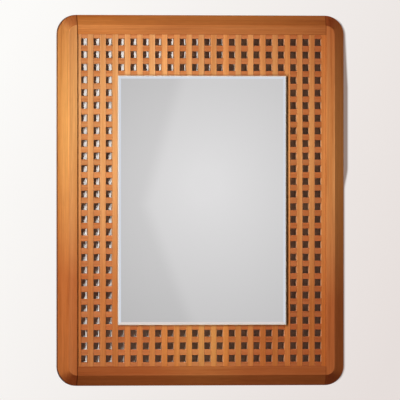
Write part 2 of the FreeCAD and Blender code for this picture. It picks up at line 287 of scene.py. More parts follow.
# Where each of these starts and is full. End grain, undersides and sides go by how a face is turned.
STREAK_RANGE = {"From Min": 0.48, "From Max": 0.76, "To Max": 0.7}
FIGURE_RANGE = {"From Min": 0.35, "From Max": 0.7}
WARM_RANGE = {"To Max": 0.8}
END_RANGE = {"From Min": 0.12, "From Max": 0.38}
UNDERSIDE_SHADE_RANGE = {"From Min": -0.38, "From Max": -0.1, **FALLING}
SIDE_SHADE_RANGE = {"From Min": 0.3, "From Max": 0.8, **FALLING}

# How strongly the holes' walls take their painted shade.
HOLE_WALL_SHADE_SHARE = 0.5

# How far a crease leans, half way between the flat front and the bevel. A painted highlight brightens it.
CREASE_LEAN = 0.19
CREASE_HIGHLIGHT_RANGE = {"From Min": CREASE_LEAN / 2, "From Max": CREASE_LEAN, **FALLING}
CREASE_HIGHLIGHT_GAIN = (1.4, 1.4, 1.4, 1.0)
BEVEL_RANGE = {"From Min": CREASE_LEAN, "From Max": 2 * CREASE_LEAN}

# Joint lines lie on the stiles' inner edges, beyond the opening, and are soft from half of their width on.
# The painted shadow line lies beside the left stile. The right-hand joint lines are fainter.
JOINT_SOFT_SHARE = 0.5
STILE_SHADOW_SOFT_SHARE = 1.4
RIGHT_JOINT_SHARE = 0.45

# Boards and fibres differ in lightness. Fibres also differ in roughness and height.
BOARD_LIGHT = {"To Min": 0.92, "To Max": 1.08}
FIBRE_LIGHT = {"From Min": 0.25, "From Max": 0.75, "To Min": 0.88, "To Max": 1.1}
FIBRE_ROUGHNESS = {"From Min": 0.3, "From Max": 0.7, "To Min": 0.46, "To Max": 0.6}
FIBRE_BUMP = {"Strength": 0.3, "Distance": 0.2 * MM}
TEAK_GLOSS = {"IOR": 1.5, "Specular IOR Level": 0.08}


def oiled_teak(name, finish, colours, right_shade_reach, along, spacing, middle, is_slat):
    """Teak, planed, sanded and oiled. The eye sees dark streaks in a warm brown with a faint sheen."""
    material, tree = new_material(name)
    pale, deep, tint = (tuple(colour) for colour in colours)
    across = X if along == Z else Z
    coordinates = add_node(tree, "ShaderNodeTexCoord", output=None)
    place = coordinates["Object"]
    axes = add_node(tree, "ShaderNodeSeparateXYZ", inputs={0: place}, output=None)

    # Every board has a number, which picks its own figure, lightness and warmth.
    steps = add_node(
        tree,
        "ShaderNodeMath",
        {"operation": "MULTIPLY_ADD"},
        {0: axes[across], 1: 1 / spacing, 2: NUMBER_OFFSET - middle / spacing},
    )
    number = add_node(tree, "ShaderNodeMath", {"operation": "ROUND"}, {0: steps})
    chance = add_node(tree, "ShaderNodeTexWhiteNoise", {"noise_dimensions": "1D"}, {"W": number}, None)
    chances = add_node(tree, "ShaderNodeSeparateColor", inputs={0: chance["Color"]}, output=None)
    seed = add_node(tree, "ShaderNodeMath", {"operation": "MULTIPLY"}, {0: number, 1: GRAIN_STEP})

    # Streaks, figure and fibres run along the grain.
    grain = []
    for width, length, noise in (
        (finish.streak_width, finish.streak_length, STREAK_NOISE),
        (finish.figure_width, finish.figure_length, FIGURE_NOISE),
        (finish.fibre_width, finish.fibre_length, FIBRE_NOISE),
    ):
        scaled = {"Vector": place, "Scale": grain_scale(along, width, length)}
        pattern = {"Vector": add_node(tree, "ShaderNodeMapping", inputs=scaled), "W": seed, **noise}
        grain.append(add_node(tree, "ShaderNodeTexNoise", {"noise_dimensions": "4D"}, pattern))
    streaks, figure, fibres = grain

    # Painted light and shade: paler in the painted pools of light, and darker and redder on the right; on the
    # rails the right-hand shade lies only within the pool of light.
    painted_light_distance = add_node(
        tree,
        "ShaderNodeMapping",
        {"vector_type": "TEXTURE"},
        {"Vector": place, "Location": PAINTED_LIGHT_PLACE, "Rotation": PAINTED_LIGHT_TURN, "Scale": PAINTED_LIGHT_SHAPE},
    )
    painted_light_distance = add_node(tree, "ShaderNodeVectorMath", {"operation": "LENGTH"}, {0: painted_light_distance}, 1)
    painted_shade_share = add_node(tree, "ShaderNodeMapRange", inputs={"Value": painted_light_distance, **PAINTED_LIGHT_REACH})
    painted_light_share = add_node(tree, "ShaderNodeMath", {"operation": "SUBTRACT"}, {0: 1.0, 1: painted_shade_share})
    colour = add_node(tree, "ShaderNodeMix", MIX, {SHARE: painted_shade_share, FIRST: pale, SECOND: deep}, MIXED)
    right_shade_share = add_node(tree, "ShaderNodeMapRange", inputs={"Value": axes[X], **right_shade_reach})
    if along == X and not is_slat:
        right_shade_share = add_node(tree, "ShaderNodeMath", {"operation": "MULTIPLY"}, {0: right_shade_share, 1: painted_light_share})
    patch = add_node(
        tree, "ShaderNodeVectorMath", {"operation": "DISTANCE"}, {0: place, 1: LOW_LIGHT_POOL_PLACE}, 1
    )
    low_light_pool_share = add_node(tree, "ShaderNodeMapRange", EASED, {"Value": patch, **LOW_LIGHT_POOL_REACH})

    # Streaks and bands are browner, and each board differs a little.
    streak_share = add_node(tree, "ShaderNodeMapRange", inputs={"Value": streaks, **STREAK_RANGE})
    figure_share = add_node(tree, "ShaderNodeMapRange", inputs={"Value": figure, **FIGURE_RANGE})
    warm_share = add_node(tree, "ShaderNodeMapRange", inputs={"Value": chances[0], **WARM_RANGE})

    # End grain drinks more oil and looks darker and browner; this darkening also paints the shade on the
    # frame's corners.
    # Undersides get painted shade.
    facings = add_node(tree, "ShaderNodeSeparateXYZ", inputs={0: coordinates["Normal"]}, output=None)
    end_facing = add_node(tree, "ShaderNodeMath", {"operation": "ABSOLUTE"}, {0: facings[along]})
    end_share = add_node(tree, "ShaderNodeMapRange", EASED, {"Value": end_facing, **END_RANGE})
    underside_shade_share = add_node(tree, "ShaderNodeMapRange", EASED, {"Value": facings[Z], **UNDERSIDE_SHADE_RANGE})
    for share, gain in (
        (right_shade_share, tint),
        (low_light_pool_share, LOW_LIGHT_POOL_GAIN),
        (streak_share, STREAK_TINT),
        (figure_share, FIGURE_TINT),
        (warm_share, WARM_TINT),
        (end_share, END_TINT),
        (underside_shade_share, UNDERSIDE_SHADE_TINT),
    ):
        colour = add_node(tree, "ShaderNodeMix", MULTIPLY, {SHARE: share, FIRST: colour, SECOND: gain}, MIXED)

    # Painted shade on the walls of the lattice's holes, and a painted shadow line where the lattice meets the
    # left stile.
    front_facing = add_node(tree, "ShaderNodeMath", {"operation": "ABSOLUTE"}, {0: facings[Y]})
    side_share = add_node(tree, "ShaderNodeMapRange", EASED, {"Value": front_facing, **SIDE_SHADE_RANGE})
    if is_slat:
        side_share = add_node(
            tree, "ShaderNodeMath", {"operation": "MULTIPLY"}, {0: side_share, 1: HOLE_WALL_SHADE_SHARE}
        )
        dust = tuple(finish.hole_wall_shade)
        colour = add_node(tree, "ShaderNodeMix", MIX, {SHARE: side_share, FIRST: colour, SECOND: dust}, MIXED)
        stile_shadow_share = add_node(
            tree,
            "ShaderNodeMapRange",
            EASED,
            {
                "Value": axes[X],
                "From Min": finish.stile_shadow_line - opening_half_width,
                "From Max": finish.stile_shadow_line * STILE_SHADOW_SOFT_SHARE - opening_half_width,
                **FALLING,
            },
        )
        marks = [(stile_shadow_share, STILE_SHADOW_TINT)]
    else:
        # Painted shade darkens the frame's sides. A painted highlight brightens its creases within the
        # painted pool of light, and its bevels are a little yellower.
        bevel_facing = add_node(tree, "ShaderNodeMath", {"operation": "ABSOLUTE"}, {0: facings[across]})
        lean = add_node(tree, "ShaderNodeMath", {"operation": "SUBTRACT"}, {0: bevel_facing, 1: CREASE_LEAN})
        lean = add_node(tree, "ShaderNodeMath", {"operation": "ABSOLUTE"}, {0: lean})
        crease_highlight_share = add_node(tree, "ShaderNodeMapRange", inputs={"Value": lean, **CREASE_HIGHLIGHT_RANGE})
        crease_highlight_share = add_node(
            tree, "ShaderNodeMath", {"operation": "MULTIPLY"}, {0: crease_highlight_share, 1: painted_light_share}
        )
        bevel_share = add_node(tree, "ShaderNodeMapRange", EASED, {"Value": bevel_facing, **BEVEL_RANGE})
        marks = [
            (side_share, FRAME_SIDE_SHADE_TINT),
            (crease_highlight_share, CREASE_HIGHLIGHT_GAIN),
            (bevel_share, tuple(finish.bevel_tint)),
        ]

    # Old polish and dust darken the butt joints between the rails and the stiles.
    from_joint = add_node(tree, "ShaderNodeMath", {"operation": "ABSOLUTE"}, {0: axes[X]})
    from_joint = add_node(
        tree, "ShaderNodeMath", {"operation": "SUBTRACT"}, {0: from_joint, 1: opening_half_width}
    )
    from_joint = add_node(tree, "ShaderNodeMath", {"operation": "ABSOLUTE"}, {0: from_joint})
    joint_share = add_node(
        tree,
        "ShaderNodeMapRange",
        EASED,
        {
            "Value": from_joint,
            "From Min": finish.joint_line / 2 * JOINT_SOFT_SHARE,
            "From Max": finish.joint_line / 2,
            **FALLING,
        },
    )
    level = add_node(tree, "ShaderNodeMath", {"operation": "SUBTRACT"}, {0: axes[Z], 1: mirror_middle.z})
    level = add_node(tree, "ShaderNodeMath", {"operation": "ABSOLUTE"}, {0: level})
    beyond = add_node(
        tree, "ShaderNodeMath", {"operation": "GREATER_THAN"}, {0: level, 1: opening_half_height}
    )
    joint_fading = add_node(
        tree,
        "ShaderNodeMapRange",
        inputs={
            "Value": axes[X],
            "From Min": -opening_half_width,
            "From Max": opening_half_width,
            "To Min": 1.0,
            "To Max": RIGHT_JOINT_SHARE,
        },
    )
    for part in (beyond, joint_fading):
        joint_share = add_node(tree, "ShaderNodeMath", {"operation": "MULTIPLY"}, {0: joint_share, 1: part})
    marks.append((joint_share, JOINT_TINT))
    for share, gain in marks:
        colour = add_node(tree, "ShaderNodeMix", MULTIPLY, {SHARE: share, FIRST: colour, SECOND: gain}, MIXED)

    board_light = add_node(tree, "ShaderNodeMapRange", inputs={"Value": chances[1], **BOARD_LIGHT})
    fibre_light = add_node(tree, "ShaderNodeMapRange", inputs={"Value": fibres, **FIBRE_LIGHT})
    light = add_node(tree, "ShaderNodeMath", {"operation": "MULTIPLY"}, {0: board_light, 1: fibre_light})
    colour = add_node(tree, "ShaderNodeVectorMath", {"operation": "SCALE"}, {0: colour, "Scale": light})
    roughness = add_node(tree, "ShaderNodeMapRange", inputs={"Value": fibres, **FIBRE_ROUGHNESS})
    bump = add_node(tree, "ShaderNodeBump", inputs={"Height": fibres, **FIBRE_BUMP})
    shader = add_node(
        tree,
        "ShaderNodeBsdfPrincipled",
        inputs={"Base Color": colour, "Roughness": roughness, "Normal": bump, **TEAK_GLOSS},
    )
    add_node(tree, "ShaderNodeOutputMaterial", inputs={"Surface": shader})
    return material


# The ground edge is full up to this share of its width. A face's turn tells front, sides and back apart.
GROUND_FULL_SHARE = 0.7
SIDE_FACING = -0.5
BACK_FACING = 0.5
GLASS_ROUGHNESS = {"To Min": 0.015, "To Max": 0.4}


def silvered_glass(finish):
    """Float glass, ground and polished at its bevel, silvered on the back and painted over. The eye sees a
    sharp reflection with a thin pale rim."""
    material, tree = new_material("silvered_glass_bevelled")
    coordinates = add_node(tree, "ShaderNodeTexCoord", output=None)
    from_middle = add_node(
        tree, "ShaderNodeVectorMath", {"operation": "SUBTRACT"}, {0: coordinates["Object"], 1: glass_middle}
    )
    from_middle = add_node(tree, "ShaderNodeVectorMath", {"operation": "ABSOLUTE"}, {0: from_middle})
    inset = add_node(tree, "ShaderNodeVectorMath", {"operation": "SUBTRACT"}, {0: glass_half, 1: from_middle})
    insets = add_node(tree, "ShaderNodeSeparateXYZ", inputs={0: inset}, output=None)
    inset = add_node(tree, "ShaderNodeMath", {"operation": "MINIMUM"}, {0: insets[X], 1: insets[Z]})
    ground_share = add_node(
        tree,
        "ShaderNodeMapRange",
        EASED,
        {
            "Value": inset,
            "From Min": finish.ground_width * GROUND_FULL_SHARE,
            "From Max": finish.ground_width,
            **FALLING,
        },
    )
    facings = add_node(tree, "ShaderNodeSeparateXYZ", inputs={0: coordinates["Normal"]}, output=None)
    side_share, back_share = [
        add_node(tree, "ShaderNodeMath", {"operation": "GREATER_THAN"}, {0: facings[Y], 1: facing})
        for facing in (SIDE_FACING, BACK_FACING)
    ]
    colour = tuple(finish.silver)
    for share, seen in ((ground_share, finish.ground), (side_share, finish.edge), (back_share, finish.paint)):
        layer = {SHARE: share, FIRST: colour, SECOND: tuple(seen)}
        colour = add_node(tree, "ShaderNodeMix", MIX, layer, MIXED)
    dull_share = add_node(tree, "ShaderNodeMath", {"operation": "MAXIMUM"}, {0: ground_share, 1: side_share})
    metallic = add_node(tree, "ShaderNodeMath", {"operation": "SUBTRACT"}, {0: 1.0, 1: dull_share})
    roughness = add_node(tree, "ShaderNodeMapRange", inputs={"Value": dull_share, **GLASS_ROUGHNESS})
    shader = add_node(
        tree,
        "ShaderNodeBsdfPrincipled",
        inputs={"Base Color": colour, "Metallic": metallic, "Roughness": roughness},
    )
    add_node(tree, "ShaderNodeOutputMaterial", inputs={"Surface": shader})
    return material


# The veneer's figure wanders. The core shows in the middle third of the board's edge.
PLY_NOISE = {"Scale": 1.0, "Detail": 3.0, "Roughness": 0.6, "Distortion": 0.8}
PLY_LIGHT = {"From Min": 0.3, "From Max": 0.7, "To Min": 0.86, "To Max": 1.06}
PLY_CORE_RANGE = {"From Min": 0.28, "From Max": 0.36}
PLY_BUMP = {"Strength": 0.2, "Distance": 0.2 * MM}
PLY_GLOSS = {"Roughness": 0.65, "IOR": 1.5}


def birch_plywood(finish):
    """Rotary-cut birch plywood, sanded and left bare. The eye sees a broad pale figure with no sheen."""
    material, tree = new_material("birch_plywood_sanded")
    coordinates = add_node(tree, "ShaderNodeTexCoord", output=None)
    scaled = {"Vector": coordinates["Object"], "Scale": grain_scale(Z, finish.ply_width, finish.ply_length)}
    place = add_node(tree, "ShaderNodeMapping", inputs=scaled)
    figure = add_node(tree, "ShaderNodeTexNoise", inputs={"Vector": place, **PLY_NOISE})
    light = add_node(tree, "ShaderNodeMapRange", inputs={"Value": figure, **PLY_LIGHT})
    axes = add_node(tree, "ShaderNodeSeparateXYZ", inputs={0: coordinates["Object"]}, output=None)
    depth = add_node(
        tree,
        "ShaderNodeMapRange",
        inputs={"Value": axes[Y], "From Min": board_low.y, "From Max": board_high.y},
    )
    depth = add_node(tree, "ShaderNodeMath", {"operation": "PINGPONG"}, {0: depth, 1: 0.5})
    core_share = add_node(tree, "ShaderNodeMapRange", EASED, {"Value": depth, **PLY_CORE_RANGE})
    plies = {SHARE: core_share, FIRST: tuple(finish.ply_face), SECOND: tuple(finish.ply_core)}
    colour = add_node(tree, "ShaderNodeMix", MIX, plies, MIXED)
    colour = add_node(tree, "ShaderNodeVectorMath", {"operation": "SCALE"}, {0: colour, "Scale": light})
    bump = add_node(tree, "ShaderNodeBump", inputs={"Height": figure, **PLY_BUMP})
    shader = add_node(
        tree, "ShaderNodeBsdfPrincipled", inputs={"Base Color": colour, "Normal": bump, **PLY_GLOSS}
    )
    add_node(tree, "ShaderNodeOutputMaterial", inputs={"Surface": shader})
    return material


# Tarnish lies in patches. Real brushing is finer than 0.1 mm, so it is drawn coarser, as wide as it needs to
# show.
TARNISH_NOISE = {"Detail": 3.0, "Roughness": 0.6}
TARNISH_RANGE = {"From Min": 0.45, "From Max": 0.75, "To Max": 0.7}
BRASS_ROUGHNESS = {"To Min": 0.28, "To Max": 0.5}
BRUSH_WIDTH = 0.4 * MM
BRUSH_LENGTH = 12 * MM
BRUSH_NOISE = {"Scale": 1.0, "Detail": 1.0}
BRUSH_BUMP = {"Strength": 0.15, "Distance": 0.05 * MM}


def satin_brass(finish):
    """Pressed and turned brass, brushed satin and a little tarnished. The eye sees a soft gold sheen with
    duller patches."""
    material, tree = new_material("satin_brass_tarnished")
    coordinates = add_node(tree, "ShaderNodeTexCoord", output=None)
    place = coordinates["Object"]
    patches = {"Vector": place, "Scale": 1 / finish.tarnish_size, **TARNISH_NOISE}
    tarnish = add_node(tree, "ShaderNodeTexNoise", inputs=patches)
    share = add_node(tree, "ShaderNodeMapRange", inputs={"Value": tarnish, **TARNISH_RANGE})
    metals = {SHARE: share, FIRST: tuple(finish.brass), SECOND: tuple(finish.tarnish)}
    colour = add_node(tree, "ShaderNodeMix", MIX, metals, MIXED)
    roughness = add_node(tree, "ShaderNodeMapRange", inputs={"Value": share, **BRASS_ROUGHNESS})
    scaled = {"Vector": place, "Scale": grain_scale(Z, BRUSH_WIDTH, BRUSH_LENGTH)}
    brush_place = add_node(tree, "ShaderNodeMapping", inputs=scaled)
    brush = add_node(tree, "ShaderNodeTexNoise", inputs={"Vector": brush_place, **BRUSH_NOISE})
    bump = add_node(tree, "ShaderNodeBump", inputs={"Height": brush, **BRUSH_BUMP})
    shader = add_node(
        tree,
        "ShaderNodeBsdfPrincipled",
        inputs={"Base Color": colour, "Metallic": 1.0, "Roughness": roughness, "Normal": bump},
    )
    add_node(tree, "ShaderNodeOutputMaterial", inputs={"Surface": shader})
    return material


class MIRROR_OT_frame(bpy.types.Operator):
    """Finishes the two stiles and the two rails"""

    bl_idname = "mirror.frame"
    bl_label = "Frame"

    def execute(self, context):
        finish = context.scene.teak_finish
        colours = (finish.stile_pale, finish.stile_deep, finish.stile_tint)
        stile = oiled_teak("oiled_teak_stile", finish, colours, RIGHT_SHADE_REACH, Z, half_width, 0.0, is_slat=False)
        finish_pieces(stile, names_from("stile"))
        colours = (finish.rail_pale, finish.rail_deep, finish.rail_tint)
        rail = oiled_teak(
            "oiled_teak_rail", finish, colours, RAIL_RIGHT_SHADE_REACH, X, half_height, mirror_middle.z, is_slat=False
        )
        finish_pieces(rail, names_from("rail"))
        return {"FINISHED"}


class MIRROR_OT_lattice(bpy.types.Operator):
    """Finishes the upright and the cross slats"""

    bl_idname = "mirror.lattice"
    bl_label = "Lattice"

    def execute(self, context):
        finish = context.scene.teak_finish
        colours = (finish.upright_pale, finish.upright_deep, finish.upright_tint)
        upright = oiled_teak(
            "oiled_teak_upright_slat", finish, colours, RIGHT_SHADE_REACH, Z, slat_pitch, 0.0, is_slat=True
        )
        finish_pieces(upright, names_from("slat_vertical"))
        colours = (finish.cross_pale, finish.cross_deep, finish.cross_tint)
        cross = oiled_teak(
            "oiled_teak_cross_slat", finish, colours, RIGHT_SHADE_REACH, X, slat_pitch, mirror_middle.z, is_slat=True
        )
        finish_pieces(cross, names_from("slat_horizontal"))
        return {"FINISHED"}


class MIRROR_OT_glass(bpy.types.Operator):
    """Finishes the glass"""

    bl_idname = "mirror.glass"
    bl_label = "Glass"

    def execute(self, context):
        finish_pieces(silvered_glass(context.scene.glass_finish), ["mirror_glass"])
        return {"FINISHED"}


class MIRROR_OT_fixings(bpy.types.Operator):
    """Finishes the board, the keyhole plates and the screws"""

    bl_idname = "mirror.fixings"
    bl_label = "Board and fixings"

    def execute(self, context):
        finish = context.scene.fixing_finish
        finish_pieces(birch_plywood(finish), ["backing_board"])
        finish_pieces(satin_brass(finish), names_from("hanger") + ["board_screws"])
        return {"FINISHED"}


# The wall shows the mirror's shadow in a strip to its right. It widens below the corner, and from about half
# way down only a narrow line is left.
SHADOW_STRIP = 21 * MM
SHADOW_LINE = 11 * MM
SHADOW_CORNER = 10.5 * MM
SHADOW_CORNER_TOP = 0.03
SHADOW_STRIP_TOP = -0.18
SHADOW_STRIP_LOW = -0.42
SHADOW_STRIP_END = -0.49
SHADOW_STRIP_SOFT = 7.5 * MM
WALL_GAP = 0.3 * MM

# The backdrop darkens along this slope, to the right and down.
BACKDROP_SLOPE = (2.0, 0.0, -1.0)
BACKDROP_RANGE = {"From Min": -1.15, "From Max": 2.2}

# Behind the lattice, the camera sees a little painted glow of stray light on the wall everywhere, and the
# wall gives back little.
STRAY_LIGHT = "#1A0703"
WALL_BOUNCE = "#4A443E"

# Light from behind the wall reaches the mirror's back, but doesn't shine through the lattice to its front.
BACK_LIGHT_REACH = 18 * MM
BOARD_MARGIN = 30 * MM

# Reach of the stage, and what the floor shows and gives back.
WALL_REACH = 6.0
FLOOR_REACH = 60.0
FLOOR_GLOW = 0.76
FLOOR_BOUNCE = "#5A5650"

# Lamps, and the even light of the room.
KEY_WIDTH = 0.2
KEY_HEIGHT = 0.5
HIGH_KEY_PLACE = (-1.02, -1.2, -0.04)
HIGH_KEY_AIM = (1.88, -1.86, -0.04)
LOW_KEY_PLACE = (-1.12, -0.98, -0.8)
LOW_KEY_AIM = (1.78, -2.28, -0.8)
LOW_KEY_SHARE = 0.92
BACK_PLACE = (1.6, 1.8, 1.3)
BACK_RADIUS = 0.5
AMBIENT = 0.078

# The panel that the glass shows stands in front of the mirror: a glowing grey card, with pale blue card round
# it, that paints the reflection. The grey is darker to the left of a bend, and brightest at one spot, a
# painted highlight.
PANEL_Y = -3.0
PANEL_LOW = (-1.8, -1.55)
PANEL_HIGH = (3.6, 2.2)
BEND_Z = -0.534
BEND_SLOPE = 0.3425
BEND_LEAN = 0.0535
BEND_START = 0.503
BEND_END = 0.57
DARK_TONE = 0.7
PALE_TONE = 0.775
BRIGHT_SPOT = (0.736, PANEL_Y, -0.465)
SPOT_START = 0.05
SPOT_END = 0.6
SPOT_END_SHARE = 0.71
CARD_MIDDLE = (0.75, PANEL_Y, -0.45)
CARD_HALF = (0.95, 1.0, 1.05)
CARD_SOFT = 0.2
BLUE_CARD = "#D8DEE6"

# Camera: width of its sensor in millimetres, and how many times its distance it sees.
SENSOR_WIDTH = 36.0
SIGHT_SHARE = 3


def stage_sheet(name, size, middle, turn, material):
    """A flat sheet of the stage, with its place in its mesh."""
    bpy.ops.object.select_all(action="DESELECT")
    bpy.ops.mesh.primitive_plane_add(size=1.0, location=middle, rotation=turn)
    sheet = bpy.context.object
    sheet.name = name
    sheet.scale = (*size, 1.0)
    bpy.ops.object.transform_apply(location=True, rotation=True, scale=True)
    sheet.data.materials.append(material)
    return sheet


def painted_wall(settings):
    """Matt paint. The eye sees an even pale backdrop round the mirror, and the lit wall through its holes."""
    material, tree = new_material("wall_matt_paint")
    place = add_node(tree, "ShaderNodeTexCoord", output=None)["Object"]
    path = add_node(tree, "ShaderNodeLightPath", output=None)
    facing = add_node(tree, "ShaderNodeNewGeometry", output=None)
    axes = add_node(tree, "ShaderNodeSeparateXYZ", inputs={0: place}, output=None)

    # Distance outside the mirror's outline, which is shifted to the right by the shadow strip. The point that
    # an arc turns round is given a depth beyond the wall's, so that depth counts for nothing.
    shift = add_node(
        tree,
        "ShaderNodeMapRange",
        EASED,
        {
            "Value": axes[Z],
            "From Min": SHADOW_STRIP_END,
            "From Max": SHADOW_STRIP_LOW,
            "To Min": SHADOW_LINE,
            "To Max": SHADOW_STRIP,
        },
    )
    corner_shift = add_node(
        tree,
        "ShaderNodeMapRange",
        inputs={
            "Value": axes[Z],
            "From Min": SHADOW_STRIP_TOP,
            "From Max": SHADOW_CORNER_TOP,
            "To Min": SHADOW_STRIP,
            "To Max": SHADOW_CORNER,
        },
    )
    shift = add_node(tree, "ShaderNodeMath", {"operation": "MINIMUM"}, {0: shift, 1: corner_shift})
    shift = add_node(tree, "ShaderNodeCombineXYZ", inputs={0: shift, 2: mirror_middle.z})
    outside = add_node(tree, "ShaderNodeVectorMath", {"operation": "SUBTRACT"}, {0: place, 1: shift})
    outside = add_node(tree, "ShaderNodeVectorMath", {"operation": "ABSOLUTE"}, {0: outside})
    arc_middle = (half_width - corner_radius, WALL_REACH, half_height - corner_radius)
    outside = add_node(tree, "ShaderNodeVectorMath", {"operation": "SUBTRACT"}, {0: outside, 1: arc_middle})
    outside = add_node(
        tree, "ShaderNodeVectorMath", {"operation": "MAXIMUM"}, {0: outside, 1: (0.0, 0.0, 0.0)}
    )
    outside = add_node(tree, "ShaderNodeVectorMath", {"operation": "LENGTH"}, {0: outside}, 1)
    round_share = add_node(
        tree,
        "ShaderNodeMapRange",
        EASED,
        {"Value": outside, "From Min": corner_radius - SHADOW_STRIP_SOFT, "From Max": corner_radius},
    )

    # Only the camera sees the backdrop and the painted shadow, each with its own light.
    slope = add_node(
        tree, "ShaderNodeVectorMath", {"operation": "DOT_PRODUCT"}, {0: place, 1: BACKDROP_SLOPE}, 1
    )
    slope = add_node(tree, "ShaderNodeMapRange", inputs={"Value": slope, **BACKDROP_RANGE})
    ends = {FIRST: tuple(settings.backdrop_pale), SECOND: tuple(settings.backdrop_deep)}
    backdrop = add_node(tree, "ShaderNodeMix", MIX, {SHARE: slope, **ends}, MIXED)
    backdrop = add_node(tree, "ShaderNodeEmission", inputs={"Color": backdrop, "Strength": 1.0})
    backdrop_share = add_node(
        tree, "ShaderNodeMath", {"operation": "MULTIPLY"}, {0: round_share, 1: path["Is Camera Ray"]}
    )
    dark = {"Color": tuple(settings.cast_shadow), "Strength": 1.0}
    shadow = add_node(tree, "ShaderNodeEmission", inputs=dark)
    shadow_share = add_node(
        tree, "ShaderNodeMath", {"operation": "GREATER_THAN"}, {0: axes[X], 1: half_width}
    )
    shadow_share = add_node(
        tree, "ShaderNodeMath", {"operation": "MULTIPLY"}, {0: shadow_share, 1: path["Is Camera Ray"]}
    )

    # Behind the mirror, the paint gives back less light than the camera sees.
    pale_share = add_node(
        tree, "ShaderNodeMath", {"operation": "MAXIMUM"}, {0: round_share, 1: path["Is Camera Ray"]}
    )
    paints = {FIRST: linear(WALL_BOUNCE), SECOND: tuple(settings.wall)}
    colour = add_node(tree, "ShaderNodeMix", MIX, {SHARE: pale_share, **paints}, MIXED)
    paint = add_node(tree, "ShaderNodeBsdfDiffuse", inputs={"Color": colour, "Roughness": 1.0})
    glow = {"Color": linear(STRAY_LIGHT), "Strength": path["Is Camera Ray"]}
    stray = add_node(tree, "ShaderNodeEmission", inputs=glow)
    paint = add_node(tree, "ShaderNodeAddShader", inputs={0: paint, 1: stray})
    seen = add_node(tree, "ShaderNodeMixShader", inputs={0: shadow_share, 1: paint, 2: shadow})
    seen = add_node(tree, "ShaderNodeMixShader", inputs={0: backdrop_share, 1: seen, 2: backdrop})

    # Lamps shine through from behind, but not onto anything deeper than the lattice's own back, and what they
    # light there lights nothing else.
    from_middle = add_node(
        tree, "ShaderNodeVectorMath", {"operation": "SUBTRACT"}, {0: place, 1: mirror_middle}
    )
    from_middle = add_node(tree, "ShaderNodeVectorMath", {"operation": "ABSOLUTE"}, {0: from_middle})
    out = add_node(tree, "ShaderNodeSeparateXYZ", inputs={0: from_middle}, output=None)
    blocked = add_node(
        tree, "ShaderNodeMath", {"operation": "GREATER_THAN"}, {0: path["Ray Length"], 1: BACK_LIGHT_REACH}
    )
    blocked = add_node(tree, "ShaderNodeMath", {"operation": "ADD"}, {0: blocked, 1: path["Diffuse Depth"]})
    blocked = add_node(tree, "ShaderNodeMath", {"operation": "MINIMUM"}, {0: blocked, 1: 1.0})
    for axis, reach in ((X, opening_half_width), (Z, opening_half_height)):
        inside = add_node(tree, "ShaderNodeMath", {"operation": "LESS_THAN"}, {0: out[axis], 1: reach})
        blocked = add_node(tree, "ShaderNodeMath", {"operation": "MULTIPLY"}, {0: blocked, 1: inside})
    beyond = add_node(
        tree, "ShaderNodeVectorMath", {"operation": "SUBTRACT"}, {0: from_middle, 1: board_half}
    )
    beyond = add_node(tree, "ShaderNodeSeparateXYZ", inputs={0: beyond}, output=None)
    beyond = add_node(tree, "ShaderNodeMath", {"operation": "MAXIMUM"}, {0: beyond[X], 1: beyond[Z]})
    beyond = add_node(tree, "ShaderNodeMath", {"operation": "GREATER_THAN"}, {0: beyond, 1: -BOARD_MARGIN})
    blocked = add_node(tree, "ShaderNodeMath", {"operation": "MULTIPLY"}, {0: blocked, 1: beyond})
    open_share = add_node(tree, "ShaderNodeMath", {"operation": "SUBTRACT"}, {0: 1.0, 1: blocked})
    hidden_share = add_node(
        tree, "ShaderNodeMath", {"operation": "MULTIPLY"}, {0: path["Is Shadow Ray"], 1: open_share}
    )
    hidden_share = add_node(
        tree, "ShaderNodeMath", {"operation": "MAXIMUM"}, {0: hidden_share, 1: facing["Backfacing"]}
    )
    nothing = add_node(tree, "ShaderNodeBsdfTransparent")
    shader = add_node(tree, "ShaderNodeMixShader", inputs={0: hidden_share, 1: seen, 2: nothing})
    add_node(tree, "ShaderNodeOutputMaterial", inputs={"Surface": shader})
    return material


def painted_floor(settings):
    """Pale matt floor paint. The eye sees an even tone, with the mirror's shadow on it."""
    material, tree = new_material("floor_matt_paint")
    path = add_node(tree, "ShaderNodeLightPath", output=None)
    seen = add_node(
        tree, "ShaderNodeMath", {"operation": "MAXIMUM"}, {0: path["Is Camera Ray"], 1: path["Is Glossy Ray"]}
    )
    strength = add_node(tree, "ShaderNodeMath", {"operation": "MULTIPLY"}, {0: seen, 1: FLOOR_GLOW})
    light = {"Color": tuple(settings.backdrop_deep), "Strength": strength}
    glow = add_node(tree, "ShaderNodeEmission", inputs=light)
    paints = {FIRST: linear(FLOOR_BOUNCE), SECOND: tuple(settings.floor)}
    colour = add_node(tree, "ShaderNodeMix", MIX, {SHARE: path["Is Camera Ray"], **paints}, MIXED)
    paint = add_node(tree, "ShaderNodeBsdfDiffuse", inputs={"Color": colour, "Roughness": 1.0})
    shader = add_node(tree, "ShaderNodeAddShader", inputs={0: glow, 1: paint})
    add_node(tree, "ShaderNodeOutputMaterial", inputs={"Surface": shader})
    return material


